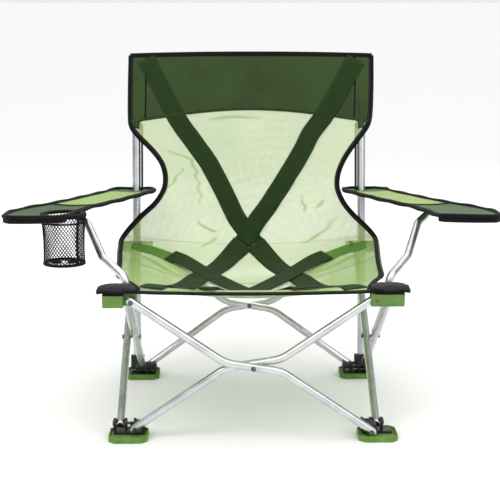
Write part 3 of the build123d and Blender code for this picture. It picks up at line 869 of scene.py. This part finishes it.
def net_angle(c):
    """Angle of a place round the net, counted in knots."""
    return c / NET_AROUND * 2 * math.pi


def net_point(c, h):
    """Point of the net's wall at a place round it and a share of its height."""
    return cup_point(net_angle(c), net_radius(h), NET_LOW + (NET_HIGH - NET_LOW) * h)


def diamond_edges(start, rows, columns):
    """Crossing cords between rows of knots in which every second row is half a knot round."""
    edges = []
    for r in range(rows - 1):
        here, after = start + r * columns, start + (r + 1) * columns
        for c in range(columns):
            other = c - 1 if r % 2 == 0 else c + 1
            edges.append((here + c, after + c))
            edges.append((here + c, after + other % columns))
    return edges


def net_cords():
    """Cords of the net's wall and floor."""
    points = []
    for r in range(NET_ROWS):
        points += [net_point(c + 0.5 * (r % 2), r / (NET_ROWS - 1)) for c in range(NET_AROUND)]
    floor_start = len(points)
    for k in range(FLOOR_RINGS):
        reach = net_radius(0) * (1 - 0.27 * k)
        for c in range(FLOOR_SPOKES):
            angle = (c + 0.5 * (k % 2)) / FLOOR_SPOKES * 2 * math.pi
            points.append(cup_point(angle, reach, NET_LOW + 0.0012))
    edges = diamond_edges(0, NET_ROWS, NET_AROUND)
    edges += diamond_edges(floor_start, FLOOR_RINGS, FLOOR_SPOKES)
    net = wire_object("cup_net_cords", points, edges)
    net.data.uv_layers.new(name="cloth")
    return run_tree(net, strand_tree("net_strands", NET_CORD), {"Radius": 0.0006})


def cup_net():
    """Diamond net bag with bound rim, bound floor and one side seam."""
    net = net_cords()
    crumpled(net, "left")
    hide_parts("cup_net")
    ring = np.arange(48) / 48 * NET_AROUND
    outwards = [(math.cos(net_angle(c)), math.sin(net_angle(c)), 0) for c in ring]
    for label, h, size in (("rim", 1.0, 0.0070), ("floor_ring", 0.0, 0.0060), ("middle_ring", 0.86, 0.0035)):
        loop = [net_point(c, h) for c in ring]
        crumpled(tape(f"cup_{label}", loop, outwards, size, 0.0028, BLACK_TAPE, closed=True), "left")
    seam_at = NET_AROUND * 0.88
    seam = [net_point(seam_at, h) for h in np.linspace(0, 1, 14)]
    facing = (math.cos(net_angle(seam_at)), math.sin(net_angle(seam_at)), 0)
    crumpled(tape("cup_side_seam", seam, [facing] * len(seam), 0.006, 0.0024, BLACK_TAPE), "left")
    hem = [cup_point(net_angle(c), CUP_HOLE, NET_HIGH + 0.002) for c in ring]
    facing = [UPWARD] * len(hem)
    crumpled(tape("cup_hole_binding", hem, facing, 0.008, 0.0040, BLACK_TAPE, closed=True), "left")


# ---------------------------------------------------------------- geometry node trees
def start_tree(name, *numbers):
    """Geometry tree with named number inputs, and the node that gives them."""
    tree = bpy.data.node_groups.new(name, "GeometryNodeTree")
    tree.interface.new_socket("Geometry", in_out="INPUT", socket_type="NodeSocketGeometry")
    for label in numbers:
        tree.interface.new_socket(label, in_out="INPUT", socket_type="NodeSocketFloat")
    tree.interface.new_socket("Geometry", in_out="OUTPUT", socket_type="NodeSocketGeometry")
    return tree, tree.nodes.new("NodeGroupInput")


def end_tree(tree, geometry, material):
    """Make a tree's result real, give it its material and send it out."""
    realize = tree.nodes.new("GeometryNodeRealizeInstances")
    paint = node(tree, "GeometryNodeSetMaterial", Material=material)
    end = tree.nodes.new("NodeGroupOutput")
    tree.links.new(geometry, realize.inputs["Geometry"])
    tree.links.new(realize.outputs["Geometry"], paint.inputs["Geometry"])
    tree.links.new(paint.outputs["Geometry"], end.inputs["Geometry"])
    return tree


def strand_tree(name, material):
    """Tree that turns a mesh's edges into round cords."""
    tree, start = start_tree(name, "Radius")
    to_curve = tree.nodes.new("GeometryNodeMeshToCurve")
    profile = node(tree, "GeometryNodeCurvePrimitiveCircle", Resolution=6)
    sweep = tree.nodes.new("GeometryNodeCurveToMesh")
    sweep.inputs["Fill Caps"].default_value = True
    link = tree.links.new
    link(start.outputs["Geometry"], to_curve.inputs["Mesh"])
    link(start.outputs["Radius"], profile.inputs["Radius"])
    link(to_curve.outputs["Curve"], sweep.inputs["Curve"])
    link(profile.outputs["Curve"], sweep.inputs["Profile Curve"])
    return end_tree(tree, sweep.outputs["Mesh"], material)


def stitch_tree(name, material):
    """Tree that lays short threads along a mesh's edges at an even pitch."""
    tree, start = start_tree(name, "Pitch", "Length")
    to_curve = tree.nodes.new("GeometryNodeMeshToCurve")
    points = tree.nodes.new("GeometryNodeCurveToPoints")
    points.mode = "LENGTH"
    thread = node(tree, "GeometryNodeMeshCylinder", Vertices=6, Radius=0.0005)
    place = tree.nodes.new("GeometryNodeInstanceOnPoints")
    align = node(tree, "FunctionNodeAlignRotationToVector", axis="Z")
    link = tree.links.new
    link(start.outputs["Geometry"], to_curve.inputs["Mesh"])
    link(to_curve.outputs["Curve"], points.inputs["Curve"])
    link(start.outputs["Pitch"], points.inputs["Length"])
    link(start.outputs["Length"], thread.inputs["Depth"])
    link(points.outputs["Points"], place.inputs["Points"])
    link(points.outputs["Tangent"], align.inputs["Vector"])
    link(align.outputs["Rotation"], place.inputs["Rotation"])
    link(thread.outputs["Mesh"], place.inputs["Instance"])
    return end_tree(tree, place.outputs["Instances"], material)


def run_tree(obj, tree, values):
    """Run a tree with its named inputs, and keep the result as a plain mesh."""
    modifier = obj.modifiers.new(tree.name, "NODES")
    modifier.node_group = tree
    for item in tree.interface.items_tree:
        if item.in_out == "INPUT" and item.name in values:
            modifier[item.identifier] = values[item.name]
    apply_modifiers(obj)
    obj.data.polygons.foreach_set("use_smooth", [True] * len(obj.data.polygons))
    return obj


def stitches(name, paths, tree):
    """One object of stitches along several paths."""
    points, edges = [], []
    for path in paths:
        first = len(points)
        points += [tuple(p) for p in path]
        edges += [(first + k, first + k + 1) for k in range(len(path) - 1)]
    return run_tree(wire_object(name, points, edges), tree, {"Pitch": 0.0052, "Length": 0.0034})


def seams():
    """Rows of stitching on the header hem, the bindings, the straps and the armrests."""
    tree = stitch_tree("lockstitch", THREAD)
    us = np.linspace(-0.96, 0.96, 60)
    hem_rows = [
        [sling_point(u * station(header_edge(u))[2], header_edge(u) + d, 0.0030) for u in us]
        for d in (-0.045, 0.045)
    ]
    edges = []
    for side in (-1, 1):
        stops = np.linspace(0.2, BACK_END - 0.1, 110)
        edges.append([across_point(side, s, 0.0075, 0.0024) for s in stops])
        stops = np.linspace(0.1, 2.2, 30)
        edges.append([sling_point(side * (POST_X - POST_RADIUS - 0.006), s, 0.0016) for s in stops])
    for side in (-1, 1):
        for shift in (-0.42, 0.42):
            stops = smooth_path(strap_route(side)[:14], 110)
            lift = 0.0030 + 0.0024 * (side > 0)
            off = shift * STRAP * 1.12
            edges.append([sling_point(x + off, s) + surface_normal(x, s) * lift for x, s in stops])
    gathered(stitches("back_stitching", hem_rows + edges, tree), BACK)
    hem = [[sling_point(u * station(FRONT_END)[2], FRONT_END - 0.08, 0.0030) for u in us]]
    gathered(stitches("seat_stitching", hem, tree), FRONT_SEAT)
    for side, name in SIDES:
        ts = np.linspace(0.02, 0.98, 90)
        rows = [[arm_point(side, t, w, 0.0040) for t in ts] for w in (-0.93, 0.93)]
        crumpled(stitches(f"{name}_arm_stitching", rows, tree), name)


# ---------------------------------------------------------------- corner boots
def boots():
    """Cloth corner pockets draped over the front hubs, where the seat's corners are sewn."""
    rings, ring = 14, 40
    corner = 3.5                # how square the pocket is seen from above
    for side, name in SIDES:
        low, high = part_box(f"front_{name}_hub")
        middle = ((low[0] + high[0]) / 2 + side * 0.003, low[1] + 0.020, high[2] + 0.0004)
        reach_x, reach_y = (high[0] - low[0]) / 2 + 0.001, 0.025
        rows = []
        for r in range(rings):
            share = r / (rings - 1)
            for c in range(ring):
                angle = c / ring * 2 * math.pi
                cosine, sine = math.cos(angle), math.sin(angle)
                square = (abs(cosine) ** corner + abs(sine) ** corner) ** (-1 / corner)
                out = 1 - share**2.2
                outer = max(0.0, side * cosine) ** 2
                rise = 0.0095 * (1 - (1 - share) ** 1.6) + 0.0012 * math.sin(5 * angle + 2 * r) * out
                tip = outer * out**3 * 0.007
                x = middle[0] + reach_x * cosine * square * out + side * tip
                y = middle[1] + reach_y * sine * square * out
                z = middle[2] + rise - tip * 0.45 * (r < 3)
                rows.append((x, y, z))
        uvs = [(c / ring * 0.2, r / rings * 0.04) for r in range(rings) for c in range(ring)]
        faces = grid_faces(rings, ring, closed=True)
        boot = mesh_object(f"{name}_corner_pocket", rows, faces, BOOT_CLOTH, uvs)
        outward(boot)
        thicken(boot, 0.0014, 1.0)
        body = f"front_{name}_corner"
        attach(boot, body)
        rim = np.array(rows[:ring])
        normals = rim - rim.mean(0)
        normals[:, 2] = 0
        band = tape(f"{name}_pocket_binding", rim, normals, 0.0055, 0.0030, BLACK_TAPE, closed=True)
        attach(band, body)


# ---------------------------------------------------------------- stage
def backdrop():
    """World that is white behind and in front, and greyer to the sides, for the tubes to reflect."""
    world = bpy.data.worlds.new("studio")
    bpy.context.scene.world = world
    world.use_nodes = True
    tree = world.node_tree
    direction = node(tree, "ShaderNodeTexCoord").outputs["Generated"]
    parts = node(tree, "ShaderNodeSeparateXYZ")
    tree.links.new(direction, parts.inputs[0])
    sideways = node(tree, "ShaderNodeMath", operation="ABSOLUTE")
    tree.links.new(parts.outputs["X"], sideways.inputs[0])
    sides = ramp(tree, sideways.outputs[0], [(0.35, (1.0, 1.0, 1.0)), (0.85, (0.35, 0.36, 0.38))])
    tree.links.new(sides, tree.nodes["Background"].inputs["Color"])
    tree.nodes["Background"].inputs["Strength"].default_value = 0.85


def floor():
    """Pale floor that reaches far behind the chair."""
    reach = 900.0
    corners = [(-reach, -reach, 0), (reach, -reach, 0), (reach, reach, 0), (-reach, reach, 0)]
    mesh = bpy.data.meshes.new("floor")
    mesh.from_pydata(corners, [], [(0, 1, 2, 3)])
    ground = placed("floor", mesh)
    mesh.materials.append(new_material("pale_floor", (0.93, 0.93, 0.92), 0.9)[0])


def lights():
    """Three soft lamps round the chair and a wide soft sun."""
    target = Vector((0, 0, 0.35))
    for name, place, size, power in (
        ("key", (-1.8, -2.2, 2.6), 1.8, 38),
        ("fill", (2.2, -1.8, 1.8), 2.2, 20),
        ("back", (0.4, 2.6, 2.4), 2.4, 24),
    ):
        light = bpy.data.lights.new(name, "AREA")
        light.shape = "DISK"
        light.size = size
        light.energy = power
        lamp = placed(name, light)
        lamp.location = place
        lamp.rotation_euler = (target - Vector(place)).to_track_quat("-Z", "Y").to_euler()
    sky = bpy.data.lights.new("overhead", "SUN")
    sky.angle = 1.4
    sky.energy = 1.15
    placed("overhead", sky).rotation_euler = (math.radians(18), math.radians(8), 0)


def view():
    """Camera in front of the chair, above it and looking a little down."""
    lens = bpy.data.cameras.new("camera")
    lens.lens = 97.72
    lens.clip_end = 4000
    camera = placed("camera", lens)
    camera.location = (-0.0464, -2.8207, 0.8463)
    camera.rotation_euler = (math.radians(90 - 10.38), 0, math.radians(-0.90))
    bpy.context.scene.camera = camera
    bpy.context.scene.view_settings.view_transform = "Standard"


backdrop()
floor()
lights()
view()
finish_cad_nodes()
sling()
sling_bindings()
straps()
post_sleeves()
armrests()
cup_net()
seams()
boots()
